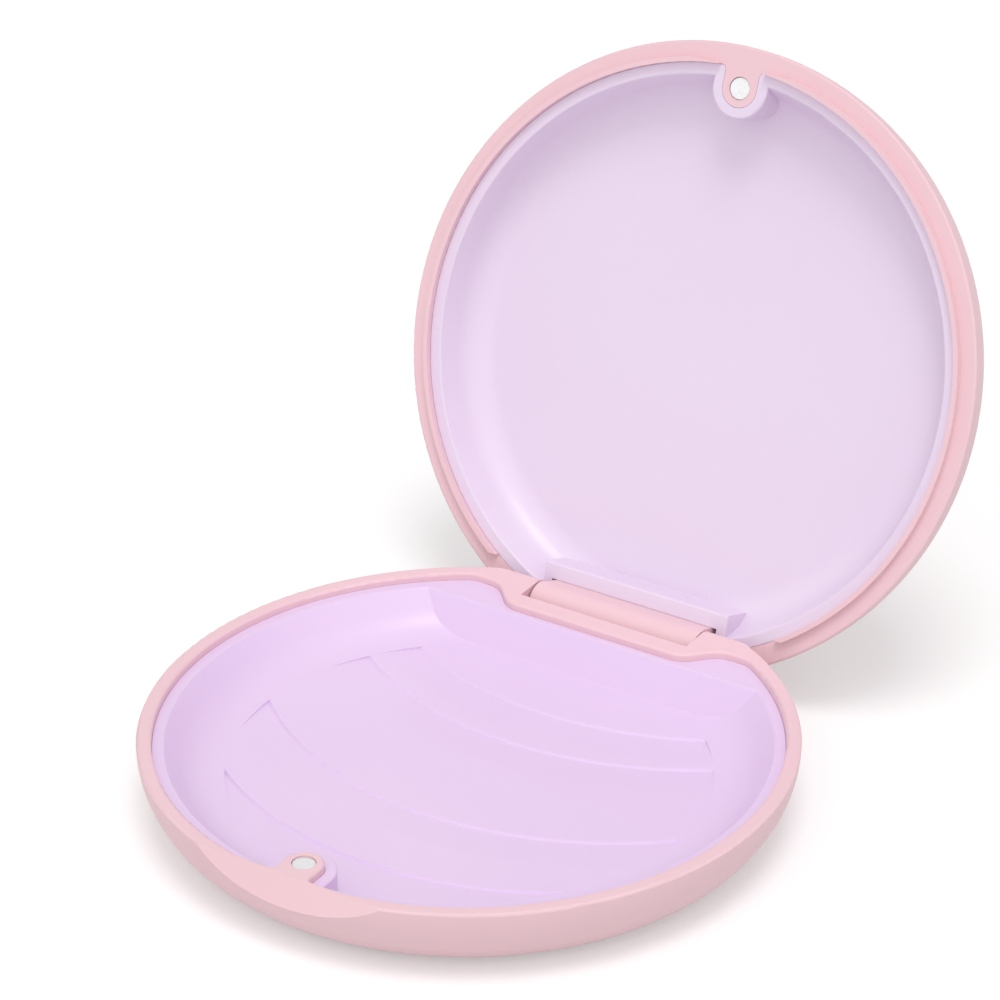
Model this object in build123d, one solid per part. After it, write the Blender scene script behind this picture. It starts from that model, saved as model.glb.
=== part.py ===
from build123d import *
import os

# Round retainer case with a hinged lid. All lengths are in millimetres.
# The origin is the centre of the base's flat underside, +Z is up, the front
# with the two magnets faces -Y and the hinge axis runs along X at the back.
# The lid is stored standing open at its stop, as it is used.

# Case outline
case_diameter = 90.0
base_height = 11.4
base_foot_run = 10.2
lid_height = 10.6
lid_top_run = 9.0
parting_gap = 0.2
rim_edge_radius = 0.35

# Outer shells
base_shell_floor = 2.2
lid_shell_floor = 1.3
shell_foot_wall = 1.4
base_rim_width = 2.1
base_rim_fillet = 0.4
lid_rim_width = 3.05
lid_flange_height = 2.0

# Liners, with the run of each wall from its foot out to its band
liner_thickness = 1.2
liner_fit = 0.05
seat_ring_radius = 29.0
seat_ring_width = 1.2
base_ledge_drop = 1.1
base_band_width = 1.6
base_liner_depth = 6.2
base_wall_run = 4.3
base_liner_fillet = 7.5
lid_band_width = 1.7
lid_liner_depth = 6.4
lid_wall_run = 2.45
lid_liner_fillet = 5.0
band_edge_fillet = 0.3

# Lip under the lid that drops inside the base rim
lip_height = 1.0
lip_thickness = 0.7
lip_front_gap = 7.0
lip_back_gap = 1.35

# Hinge, its axis set in from the case's outer edge
hinge_inset = 5.84
hinge_drop = 3.1
open_angle = 110.9
knuckle_radius = 3.05
knuckle_length = 26.8
knuckle_side_gap = 0.3
arm_end_gap = 0.45
pin_diameter = 1.6
pin_fit = 0.05
pin_length = 37.0
pin_end_gap = 0.3
pin_chamfer = 0.2

# Hinge wall and ears of the base, placed from the hinge axis
notch_wall_setback = 4.36
notch_floor_gap = 0.8
back_flat_reach = 0.44
hinge_wall_thickness = 2.8
hinge_wall_corner = 0.6
lobe_run = 4.0
lobe_setback = 2.81
lobe_radius = 4.0

# Slope in the base liner below the hinge wall
slope_ledge = 0.9
slope_run = 2.6

# Shallow steps in the base liner floor, each an arc named by its lowest point
step_low_points = [-27.0, -13.0, 8.5, 17.5]
step_arc_radius = 50.0
step_depth = 0.35
step_riser = 0.3
step_tread = 6.0
step_wall_gap = 0.8

# Bar of the lid liner in front of the knuckle
bar_thickness = 2.3
bar_overhang = 1.4

# Closure magnets in their bosses
magnet_diameter = 3.2
magnet_thickness = 2.0
magnet_recess = 0.2
magnet_fit = 0.05
magnet_chamfer = 0.1
magnet_inset = 6.0
boss_radius = 2.7
boss_wall = 1.6
boss_blend_radius = 0.7

# Thumb scoop on the front of the base
scoop_reach = 2.4
scoop_depth = 3.8
scoop_land = 0.5

# Sizes worked out from the values above
outer_radius = case_diameter / 2
base_foot_radius = outer_radius - base_foot_run
lid_top_radius = outer_radius - lid_top_run
base_rim_inner = outer_radius - base_rim_width
lid_rim_inner = outer_radius - lid_rim_width
base_band_inner = base_rim_inner - base_band_width
lid_band_inner = lid_rim_inner - lid_band_width
lid_plane_z = base_height + parting_gap
case_height = lid_plane_z + lid_height
ledge_z = base_height - base_ledge_drop
base_floor_z = base_height - base_liner_depth
lid_floor_z = lid_height - lid_liner_depth
hinge_y = outer_radius - hinge_inset
hinge_z = base_height - hinge_drop
axis_above_lid_rim = lid_plane_z - hinge_z
pin_radius = pin_diameter / 2
pin_hole_radius = pin_radius + pin_fit
knuckle_half = knuckle_length / 2
knuckle_front_y = hinge_y - knuckle_radius
notch_half = knuckle_half + knuckle_side_gap
notch_floor_z = hinge_z - knuckle_radius - notch_floor_gap
notch_wall_y = hinge_y - notch_wall_setback
hinge_wall_y = notch_wall_y - hinge_wall_thickness
hinge_wall_half = notch_half + hinge_wall_corner
lobe_half = hinge_wall_half + lobe_run
lobe_y = hinge_y - lobe_setback
bar_back_y = knuckle_front_y - liner_fit
bar_front_y = bar_back_y - bar_thickness
bar_half = notch_half + bar_overhang
slope_top_y = hinge_wall_y - slope_ledge
slope_foot_y = slope_top_y - slope_run
magnet_y = magnet_inset - outer_radius
magnet_radius = magnet_diameter / 2
scoop_chord_y = scoop_reach - outer_radius
front_wall_y = scoop_chord_y + scoop_land
far = case_diameter
line_match = 0.005


def bowl(rim_radius, foot_radius, height, edge_radius):
    """Solid bowl standing on z = 0: flat foot, quarter-ellipse side and a flat rim on top."""
    outline = make_face([
        Line((0, height), (0, 0)),
        Line((0, 0), (foot_radius, 0)),
        EllipticalCenterArc(
            (foot_radius, height), rim_radius - foot_radius, height, start_angle=270, arc_size=90
        ),
        Line((rim_radius, height), (0, height)),
    ])
    if edge_radius > 0:
        outline = fillet(outline.vertices().sort_by(Axis.X)[-1], edge_radius)
    return revolve(Plane.XZ * outline, Axis.Z)


def dish(rim_radius, floor_radius, rim_z, floor_z, foot_fillet):
    """Solid with a straight sloping side and a rounded foot."""
    outline = make_face(
        Polyline((0, floor_z), (floor_radius, floor_z), (rim_radius, rim_z), (0, rim_z), close=True)
    )
    foot = outline.vertices().sort_by(Axis.Y)[:2].sort_by(Axis.X)[-1]
    return revolve(Plane.XZ * fillet(foot, foot_fillet), Axis.Z)


def block(x_low, x_high, y_low, y_high, z_low, z_high):
    """Box between two corners."""
    centre = ((x_low + x_high) / 2, (y_low + y_high) / 2, (z_low + z_high) / 2)
    return Pos(*centre) * Box(x_high - x_low, y_high - y_low, z_high - z_low)


def tube(inner, outer, z_low, z_high):
    """Upright ring between two radii."""
    height = z_high - z_low
    return Pos(0, 0, (z_low + z_high) / 2) * (Cylinder(outer, height) - Cylinder(inner, height))


def rod_x(radius, x_low, x_high, y, z):
    """Cylinder along X."""
    return Pos((x_low + x_high) / 2, y, z) * Rot(0, 90, 0) * Cylinder(radius, x_high - x_low)


def upright(plan, z_low, z_high):
    """Plan raised between two heights."""
    return Pos(0, 0, z_low) * extrude(plan, z_high - z_low)


def edges_along(piece, line):
    """Edges of a piece whose middles lie on a line."""
    return [edge for edge in piece.edges() if line.distance_to(edge @ 0.5) < line_match]


def band_edges(tray, level):
    """Edges of a tray's mouth: the inner loop of its flat band."""
    flat = tray.faces().filter_by(Axis.Z).filter_by_position(Axis.Z, level, level)
    return flat.sort_by(SortBy.AREA)[-1].inner_wires()[0].edges()


def boss_plan(radius):
    """Plan of a magnet boss that runs out to the front rim."""
    stem = Pos(0, magnet_y - far / 2) * Rectangle(radius * 2, far)
    return Pos(0, magnet_y) * Circle(radius) + stem


def front_corners(plan):
    """The two corners of a plan where a magnet boss leaves its front edge."""
    front = plan.vertices().group_by(Axis.Y)[0]
    return sorted(front, key=lambda corner: abs(corner.X))[:2]


def base_opening(inset):
    """Plan of the space inside the base rim, with the hinge wall at the back and the boss in front."""
    room = Circle(base_rim_inner) & make_face(Polyline(
        (-far, front_wall_y),
        (far, front_wall_y),
        (far, lobe_y),
        (lobe_half, lobe_y),
        (hinge_wall_half, hinge_wall_y),
        (-hinge_wall_half, hinge_wall_y),
        (-lobe_half, lobe_y),
        (-far, lobe_y),
        close=True,
    ))
    room = fillet([corner for corner in room.vertices() if corner.Y > 0], lobe_radius)
    room = room - boss_plan(boss_radius)
    room = fillet(front_corners(room), boss_blend_radius)
    return offset(room, -inset) if inset > 0 else room


def lid_opening():
    """Plan of the space inside the lid rim, with the boss in front."""
    room = Circle(lid_rim_inner) - boss_plan(boss_radius)
    return fillet(front_corners(room), boss_blend_radius)


def magnet_pocket(rim_z):
    """Blind pocket for a magnet under a rim plane at rim_z."""
    depth = magnet_thickness + magnet_recess
    return Pos(0, magnet_y, rim_z - depth / 2) * Cylinder(magnet_radius + magnet_fit, depth)


def magnet_disc(rim_z):
    """Closure magnet, seated on the floor of its pocket."""
    centre_z = rim_z - magnet_recess - magnet_thickness / 2
    disc = Cylinder(magnet_radius, magnet_thickness)
    return Pos(0, magnet_y, centre_z) * chamfer(disc.edges(), magnet_chamfer)


def base_shell():
    """Outer bottom shell with its rim, hinge ears, magnet boss and thumb scoop."""
    shell = bowl(outer_radius, base_foot_radius, base_height, rim_edge_radius)
    hollow = Pos(0, 0, base_shell_floor) * bowl(
        base_rim_inner, base_foot_radius - shell_foot_wall, ledge_z - base_shell_floor, 0
    )
    hollow = hollow + upright(Circle(base_rim_inner), ledge_z, base_height)
    hollow = hollow & upright(base_opening(0), 0, base_height)
    shell = shell - hollow
    shell = shell + tube(
        seat_ring_radius, seat_ring_radius + seat_ring_width, base_shell_floor / 2,
        base_floor_z - liner_thickness,
    )
    behind_flat = block(-far, far, hinge_y + back_flat_reach, far, -far, far)
    ears = rod_x(knuckle_radius, -far, far, hinge_y, hinge_z)
    shell = shell - (behind_flat - ears)
    shell = shell - block(-notch_half, notch_half, notch_wall_y, far, notch_floor_z, far)
    hole_end = pin_length / 2 + pin_end_gap
    shell = shell - rod_x(pin_hole_radius, -hole_end, far, hinge_y, hinge_z)
    shell = shell - magnet_pocket(base_height) - scoop_cutter()
    rim_line = Pos(0, 0, base_height) * base_opening(0).face().outer_wire()
    return fillet(edges_along(shell, rim_line), base_rim_fillet)


def scoop_cutter():
    """Wedge in front of the sloping face of the thumb scoop."""
    height_share = scoop_depth / base_height
    wall_radius = base_foot_radius + base_foot_run * (1 - height_share ** 2) ** 0.5
    slope = (wall_radius + scoop_chord_y) / scoop_depth
    side = make_face(Polyline(
        (scoop_chord_y, base_height),
        (scoop_chord_y - base_height * slope, 0),
        (-far, 0),
        (-far, base_height + scoop_depth),
        (scoop_chord_y, base_height + scoop_depth),
        close=True,
    ))
    return Pos(-far / 2, 0, 0) * extrude(Plane.YZ * side, far)


def floor_steps():
    """Wedge-shaped dips in front of the arcs on the liner floor."""
    ahead_of_slope = Pos(0, slope_foot_y - step_wall_gap - far) * Rectangle(far * 2, far * 2)
    keep = Circle(base_band_inner - base_wall_run - base_liner_fillet / 2) & ahead_of_slope
    dips = []
    for low_y in step_low_points:
        section = make_face(Polyline(
            (step_arc_radius - step_riser, base_floor_z + step_depth),
            (step_arc_radius - step_riser, base_floor_z),
            (step_arc_radius, base_floor_z - step_depth),
            (step_arc_radius + step_tread, base_floor_z),
            (step_arc_radius + step_tread, base_floor_z + step_depth),
            close=True,
        ))
        ring = Pos(0, low_y + step_arc_radius, 0) * revolve(Plane.XZ * section, Axis.Z)
        front = Pos(0, low_y + step_arc_radius - far) * Rectangle(far * 2, far * 2)
        plan = upright(keep & front, 0, base_height)
        dips.append(ring & plan)
    return dips


def base_liner():
    """Inner tray with a ledge round the top, a slope under the hinge and steps in its floor."""
    tray = dish(
        base_rim_inner, base_rim_inner - base_wall_run, ledge_z, base_floor_z - liner_thickness,
        base_liner_fillet + liner_thickness,
    )
    tray = tray & upright(base_opening(liner_fit), 0, base_height)
    room = dish(base_band_inner, base_band_inner - base_wall_run, ledge_z, base_floor_z, base_liner_fillet)
    slope = make_face(Polyline(
        (slope_top_y, ledge_z),
        (slope_foot_y, base_floor_z),
        (slope_foot_y, 0),
        (far, 0),
        (far, ledge_z),
        close=True,
    ))
    room = room - Pos(-far, 0, 0) * extrude(Plane.YZ * slope, far * 2)
    room = room - upright(boss_plan(boss_radius + boss_wall), 0, base_height)
    for dip in floor_steps():
        room = room + dip
    tray = tray - room
    return fillet(band_edges(tray, ledge_z), band_edge_fillet)


def knuckle():
    """Barrel of the lid's hinge with the arm that joins it to the lid, in the lid's own frame."""
    axis_z = lid_height + axis_above_lid_rim
    arm_half = knuckle_half - arm_end_gap
    barrel = rod_x(knuckle_radius, -knuckle_half, knuckle_half, hinge_y, axis_z)
    arm = block(
        -arm_half, arm_half, knuckle_front_y, hinge_y + knuckle_radius, lid_height, axis_z
    )
    root = block(-arm_half, arm_half, knuckle_front_y, far, lid_shell_floor / 2, lid_height)
    root = root & bowl(lid_rim_inner + lip_thickness, lid_top_radius, lid_height, 0)
    return barrel + arm + root


def lid_lip():
    """Low lip that locates the lid in the base, open at the boss and at the hinge."""
    lip_outer = lid_rim_inner + lip_thickness
    ring = tube(lid_rim_inner, lip_outer, lid_height - lip_height, lid_height + lip_height)
    front = block(-lip_front_gap / 2, lip_front_gap / 2, -far, 0, lid_height, far)
    chord = block(-far, far, -far, front_wall_y + parting_gap, lid_height, far)
    back = block(-far, far, lobe_y - lip_back_gap, far, lid_height, far)
    return ring - front - chord - back


def lid_shell():
    """Outer top shell with its lip, knuckle and magnet boss, in the lid's own frame."""
    shell = bowl(outer_radius, lid_top_radius, lid_height, rim_edge_radius)
    hollow = Pos(0, 0, lid_shell_floor) * bowl(
        base_rim_inner, lid_top_radius - shell_foot_wall, lid_height - lid_shell_floor, 0
    )
    hollow = hollow - tube(lid_rim_inner, far, lid_height - lid_flange_height, lid_height)
    boss_core = Circle(lid_rim_inner + lip_thickness) - lid_opening()
    shell = shell - (hollow - upright(boss_core, 0, far))
    shell = shell + tube(
        seat_ring_radius, seat_ring_radius + seat_ring_width, lid_shell_floor / 2,
        lid_floor_z - liner_thickness,
    )
    shell = shell + lid_lip() + knuckle()
    axis_z = lid_height + axis_above_lid_rim
    shell = shell - rod_x(pin_hole_radius, -far, far, hinge_y, axis_z)
    return shell - magnet_pocket(lid_height)


def lid_liner():
    """Inner tray of the lid with a band round its mouth and the bar in front of the knuckle."""
    tray_rim = lid_rim_inner - liner_fit
    tray = dish(
        tray_rim, tray_rim - lid_wall_run, lid_height, lid_floor_z - liner_thickness,
        lid_liner_fillet + liner_thickness,
    )
    knuckle_room = block(-notch_half, notch_half, bar_back_y, far, 0, far)
    outline = offset(lid_opening(), -liner_fit)
    tray = (tray & upright(outline, 0, far)) - knuckle_room
    room = dish(lid_band_inner, lid_band_inner - lid_wall_run, lid_height, lid_floor_z, lid_liner_fillet)
    room = room - block(-bar_half, bar_half, bar_front_y, far, 0, far)
    room = room - upright(boss_plan(boss_radius + boss_wall), 0, far)
    tray = tray - room
    return fillet(band_edges(tray, lid_height), band_edge_fillet)


def hinge_pin():
    """Steel pin through both ears and the knuckle."""
    pin = rod_x(pin_radius, -pin_length / 2, pin_length / 2, hinge_y, hinge_z)
    return chamfer(pin.edges().filter_by(GeomType.CIRCLE), pin_chamfer)


def stand_open(piece):
    """Turns a piece from the lid's own frame over onto the base, then swings it open."""
    closed = Pos(0, 0, case_height) * Rot(0, 180, 0) * piece
    return closed.rotate(Axis((0, hinge_y, hinge_z), (1, 0, 0)), -open_angle)


def main():
    """Writes one STEP file for each piece."""
    os.makedirs("parts", exist_ok=True)
    pieces = {
        "base_shell": base_shell(),
        "base_liner": base_liner(),
        "base_magnet": magnet_disc(base_height),
        "hinge_pin": hinge_pin(),
        "lid_shell": stand_open(lid_shell()),
        "lid_liner": stand_open(lid_liner()),
        "lid_magnet": stand_open(magnet_disc(lid_height)),
    }
    for name, piece in pieces.items():
        print(name, "solids", len(piece.solids()), "volume %.1f" % piece.volume)
        export_step(piece, os.path.join("parts", name + ".step"))


main()
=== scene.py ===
import bpy
import bmesh
import math
from mathutils import Euler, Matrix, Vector

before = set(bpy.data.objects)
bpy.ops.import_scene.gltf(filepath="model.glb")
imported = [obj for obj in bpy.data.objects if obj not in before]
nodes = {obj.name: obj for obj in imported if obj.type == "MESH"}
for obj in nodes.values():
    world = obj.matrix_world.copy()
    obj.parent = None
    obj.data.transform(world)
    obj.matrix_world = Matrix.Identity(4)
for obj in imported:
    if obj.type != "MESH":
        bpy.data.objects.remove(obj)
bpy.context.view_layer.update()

scene = bpy.context.scene
scene.view_settings.view_transform = "Standard"
mm = 0.001
white = (1, 1, 1, 1)
print("frame loaded:", len(nodes), "nodes")


photoCamera = {  # solved from the two rim circles
    "azimuth": 32.548,
    "elevation": 28.313,
    "distance": 618.49 * mm,
    "lens": 149.23,
    "sensorWidth": 36,
    "clipStart": 10 * mm,
    "aim": Vector((-31.535, 57.214, 11.4)) * mm,
}


def facing(setup):  # the turn of a camera or a lamp that looks down from that side
    return Euler((math.radians(90 - setup["elevation"]), 0, math.radians(setup["azimuth"])))


def makeCamera(setup):
    lens = bpy.data.cameras.new("photoCamera")
    lens.lens = setup["lens"]
    lens.sensor_width = setup["sensorWidth"]
    lens.clip_start = setup["clipStart"]
    camera = bpy.data.objects.new("photoCamera", lens)
    turn = facing(setup)
    camera.rotation_euler = turn
    camera.location = setup["aim"] + turn.to_matrix() @ Vector((0, 0, setup["distance"]))
    scene.collection.objects.link(camera)
    scene.camera = camera


makeCamera(photoCamera)
print("camera placed")


def setInputs(node, values):
    for name, value in values.items():
        node.inputs[name].default_value = value


def mathNode(tree, operation, first, second):
    node = tree.nodes.new("ShaderNodeMath")
    node.operation = operation
    for index, value in enumerate((first, second)):
        if isinstance(value, (int, float)):
            node.inputs[index].default_value = value
        else:
            tree.links.new(value, node.inputs[index])
    return node.outputs[0]


studio = {  # even sky, a soft top light and two broad front lights
    "sky": 0.48,
    "skySeen": 1.0,  # white where the camera sees it
    "suns": {
        "topSun": {"power": 0.92, "spread": 24, "azimuth": 40, "elevation": 76},
        "leftSun": {"power": 0.62, "spread": 120, "azimuth": -20, "elevation": 34},
        "rightSun": {"power": 0.88, "spread": 120, "azimuth": 45, "elevation": 28},
    },
    "floorSize": 6.0,
    "floorColor": (0.74, 0.74, 0.74, 1),
    "floorRoughness": 0.9,
    "floorSpecular": 0.1,
    "floorLift": 0.3,  # glow that brings the seen floor up to white
}


def seenDirectly(tree):  # mask of the rays that show the white surroundings
    path = tree.nodes.new("ShaderNodeLightPath")
    seen = mathNode(tree, "MAXIMUM", path.outputs["Is Camera Ray"], path.outputs["Is Glossy Ray"])
    return mathNode(tree, "MAXIMUM", seen, path.outputs["Is Transmission Ray"])


def makeSky(setup):
    world = bpy.data.worlds.new("studioSky")
    scene.world = world
    world.use_nodes = True
    tree = world.node_tree
    back = tree.nodes["Background"]
    setInputs(back, {"Color": white})
    level = tree.nodes.new("ShaderNodeMapRange")
    setInputs(level, {"To Min": setup["sky"], "To Max": setup["skySeen"]})
    tree.links.new(seenDirectly(tree), level.inputs["Value"])
    tree.links.new(level.outputs["Result"], back.inputs["Strength"])


def makeSun(name, setup):
    lamp = bpy.data.lights.new(name, "SUN")
    lamp.energy = setup["power"]
    lamp.angle = math.radians(setup["spread"])
    sun = bpy.data.objects.new(name, lamp)
    sun.rotation_euler = facing(setup)
    scene.collection.objects.link(sun)


def makeFloor(setup):
    mesh = bpy.data.meshes.new("studioFloor")
    shape = bmesh.new()
    bmesh.ops.create_grid(shape, x_segments=1, y_segments=1, size=setup["floorSize"] / 2)
    shape.to_mesh(mesh)
    shape.free()
    floor = bpy.data.objects.new("studioFloor", mesh)
    scene.collection.objects.link(floor)
    material = bpy.data.materials.new("floorWhite")
    material.use_nodes = True
    tree = material.node_tree
    shader = tree.nodes["Principled BSDF"]
    setInputs(shader, {
        "Base Color": setup["floorColor"],
        "Roughness": setup["floorRoughness"],
        "Specular IOR Level": setup["floorSpecular"],
        "Emission Color": white,
    })
    lift = mathNode(tree, "MULTIPLY", seenDirectly(tree), setup["floorLift"])
    tree.links.new(lift, shader.inputs["Emission Strength"])
    side = tree.nodes.new("ShaderNodeNewGeometry")
    clear = tree.nodes.new("ShaderNodeBsdfTransparent")
    oneSided = tree.nodes.new("ShaderNodeMixShader")  # the floor is clear from below
    tree.links.new(side.outputs["Backfacing"], oneSided.inputs["Fac"])
    tree.links.new(shader.outputs["BSDF"], oneSided.inputs[1])
    tree.links.new(clear.outputs["BSDF"], oneSided.inputs[2])
    tree.links.new(oneSided.outputs["Shader"], tree.nodes["Material Output"].inputs["Surface"])
    mesh.materials.append(material)


makeSky(studio)
for name, sun in studio["suns"].items():
    makeSun(name, sun)
makeFloor(studio)
print("studio lit")


mouldGrain = {
    "grainDetail": 3.0,
    "grainRoughness": 0.6,
    "pitScale": 0.55,  # as a share of the grain's own scale
    "driftDetail": 2.0,
}


def makeGrainGroup(setup):  # fine moulded grain with a slow drift of tone
    group = bpy.data.node_groups.new("mouldGrain", "ShaderNodeTree")
    for name in ("Grain Scale", "Drift Scale"):
        group.interface.new_socket(name=name, in_out="INPUT", socket_type="NodeSocketFloat")
    for name in ("Height", "Speck", "Drift"):
        group.interface.new_socket(name=name, in_out="OUTPUT", socket_type="NodeSocketFloat")
    start = group.nodes.new("NodeGroupInput")
    end = group.nodes.new("NodeGroupOutput")
    place = group.nodes.new("ShaderNodeTexCoord")
    grain = group.nodes.new("ShaderNodeTexNoise")
    setInputs(grain, {"Detail": setup["grainDetail"], "Roughness": setup["grainRoughness"]})
    pits = group.nodes.new("ShaderNodeTexVoronoi")
    pits.feature = "SMOOTH_F1"
    drift = group.nodes.new("ShaderNodeTexNoise")
    setInputs(drift, {"Detail": setup["driftDetail"]})
    for texture in (grain, pits, drift):
        group.links.new(place.outputs["Object"], texture.inputs["Vector"])
    pitScale = mathNode(group, "MULTIPLY", start.outputs["Grain Scale"], setup["pitScale"])
    group.links.new(start.outputs["Grain Scale"], grain.inputs["Scale"])
    group.links.new(pitScale, pits.inputs["Scale"])
    group.links.new(start.outputs["Drift Scale"], drift.inputs["Scale"])
    height = mathNode(group, "MULTIPLY", grain.outputs["Fac"], pits.outputs["Distance"])
    group.links.new(height, end.inputs["Height"])
    group.links.new(grain.outputs["Fac"], end.inputs["Speck"])
    group.links.new(drift.outputs["Fac"], end.inputs["Drift"])
    return group


grainGroup = makeGrainGroup(mouldGrain)
print("grain made")


def newFinish(name):
    material = bpy.data.materials.new(name)
    material.use_nodes = True
    return material, material.node_tree, material.node_tree.nodes["Principled BSDF"]


def mixColors(tree, mask, low, high):
    node = tree.nodes.new("ShaderNodeMix")
    node.data_type = "RGBA"
    setInputs(node, {"A": low, "B": high})
    tree.links.new(mask, node.inputs["Factor"])
    return node.outputs["Result"]


noiseRange = (0.3, 0.7)  # most of a noise lies in here
fullRange = (0.0, 1.0)


def spread(tree, noise, target):  # stretches a noise out to the target range
    node = tree.nodes.new("ShaderNodeMapRange")
    setInputs(node, {"From Min": noiseRange[0], "From Max": noiseRange[1]})
    setInputs(node, {"To Min": target[0], "To Max": target[1]})
    tree.links.new(noise, node.inputs["Value"])
    return node.outputs["Result"]


def bumpFrom(tree, height, strength, distance):
    node = tree.nodes.new("ShaderNodeBump")
    setInputs(node, {"Strength": strength, "Distance": distance})
    tree.links.new(height, node.inputs["Height"])
    return node.outputs["Normal"]


def dressShader(tree, shader, setup, tone, speck, height):  # colour, gloss and bump
    color = mixColors(tree, tone, setup["deepColor"], setup["paleColor"])
    rough = spread(tree, speck, setup["roughness"])
    normal = bumpFrom(tree, height, setup["bump"], setup["bumpDepth"])
    tree.links.new(color, shader.inputs["Base Color"])
    tree.links.new(rough, shader.inputs["Roughness"])
    tree.links.new(normal, shader.inputs["Normal"])


def makeMouldedFinish(name, setup):  # two close tones, broken gloss and a fine bump
    material, tree, shader = newFinish(name)
    grain = tree.nodes.new("ShaderNodeGroup")
    grain.node_tree = grainGroup
    setInputs(grain, {"Grain Scale": setup["grainScale"], "Drift Scale": setup["driftScale"]})
    tone = spread(tree, grain.outputs["Drift"], fullRange)
    dressShader(tree, shader, setup, tone, grain.outputs["Speck"], grain.outputs["Height"])
    setInputs(shader, {"Specular IOR Level": setup["specular"], "Sheen Weight": setup["sheen"]})
    return material


def makeMetalFinish(name, setup):  # plated or drawn metal with fine scratches
    material, tree, shader = newFinish(name)
    place = tree.nodes.new("ShaderNodeTexCoord")
    stretch = tree.nodes.new("ShaderNodeMapping")
    setInputs(stretch, {"Scale": setup["stretch"]})
    tree.links.new(place.outputs["Object"], stretch.inputs["Vector"])
    lines = tree.nodes.new("ShaderNodeTexNoise")
    setInputs(lines, {"Scale": setup["lineScale"], "Detail": setup["lineDetail"]})
    tree.links.new(stretch.outputs["Vector"], lines.inputs["Vector"])
    scratch = lines.outputs["Fac"]
    dressShader(tree, shader, setup, scratch, scratch, scratch)
    setInputs(shader, {"Metallic": setup["metallic"]})
    return material


pinkShell = {
    "deepColor": (0.818, 0.55, 0.6, 1),
    "paleColor": (0.838, 0.574, 0.622, 1),
    "roughness": (0.46, 0.56),
    "grainScale": 2600.0,
    "driftScale": 24.0,
    "bump": 0.25,
    "bumpDepth": 0.02 * mm,
    "specular": 0.35,
    "sheen": 0.12,
}
lavenderLiner = {
    "deepColor": (0.765, 0.585, 0.82, 1),
    "paleColor": (0.785, 0.61, 0.835, 1),
    "roughness": (0.3, 0.38),
    "grainScale": 1800.0,
    "driftScale": 20.0,
    "bump": 0.12,
    "bumpDepth": 0.02 * mm,
    "specular": 0.5,
    "sheen": 0.0,
}
# painted light: the lid's liner gets a paler copy of the same lavender, standing in for the
# stronger front light its inside catches
paintedLightLidLiner = dict(lavenderLiner, deepColor=(0.765, 0.645, 0.8, 1), paleColor=(0.785, 0.67, 0.815, 1))
nickelMagnet = {
    "deepColor": (0.7, 0.71, 0.72, 1),
    "paleColor": (0.82, 0.82, 0.83, 1),
    "roughness": (0.22, 0.34),
    "stretch": (1.0, 1.0, 1.0),
    "lineScale": 900.0,
    "lineDetail": 4.0,
    "bump": 0.08,
    "bumpDepth": 0.01 * mm,
    "metallic": 0.6,
}
drawnSteel = {
    "deepColor": (0.45, 0.45, 0.47, 1),
    "paleColor": (0.68, 0.68, 0.7, 1),
    "roughness": (0.25, 0.42),
    "stretch": (0.05, 1.0, 1.0),  # long scratches along the pin
    "lineScale": 2400.0,
    "lineDetail": 4.0,
    "bump": 0.15,
    "bumpDepth": 0.01 * mm,
    "metallic": 1.0,
}

finishes = {
    "base_shell": makeMouldedFinish("pinkShellFinish", pinkShell),
    "base_liner": makeMouldedFinish("baseLinerFinish", lavenderLiner),
    "lid_liner": makeMouldedFinish("paintedLightLidLinerFinish", paintedLightLidLiner),
    "base_magnet": makeMetalFinish("nickelMagnetFinish", nickelMagnet),
    "hinge_pin": makeMetalFinish("drawnSteelFinish", drawnSteel),
}
finishes["lid_shell"] = finishes["base_shell"]
finishes["lid_magnet"] = finishes["base_magnet"]

for name, finish in finishes.items():
    piece = nodes[name]
    piece.data.materials.clear()
    piece.data.materials.append(finish)
    print("finished", name, len(piece.data.vertices), "vertices")
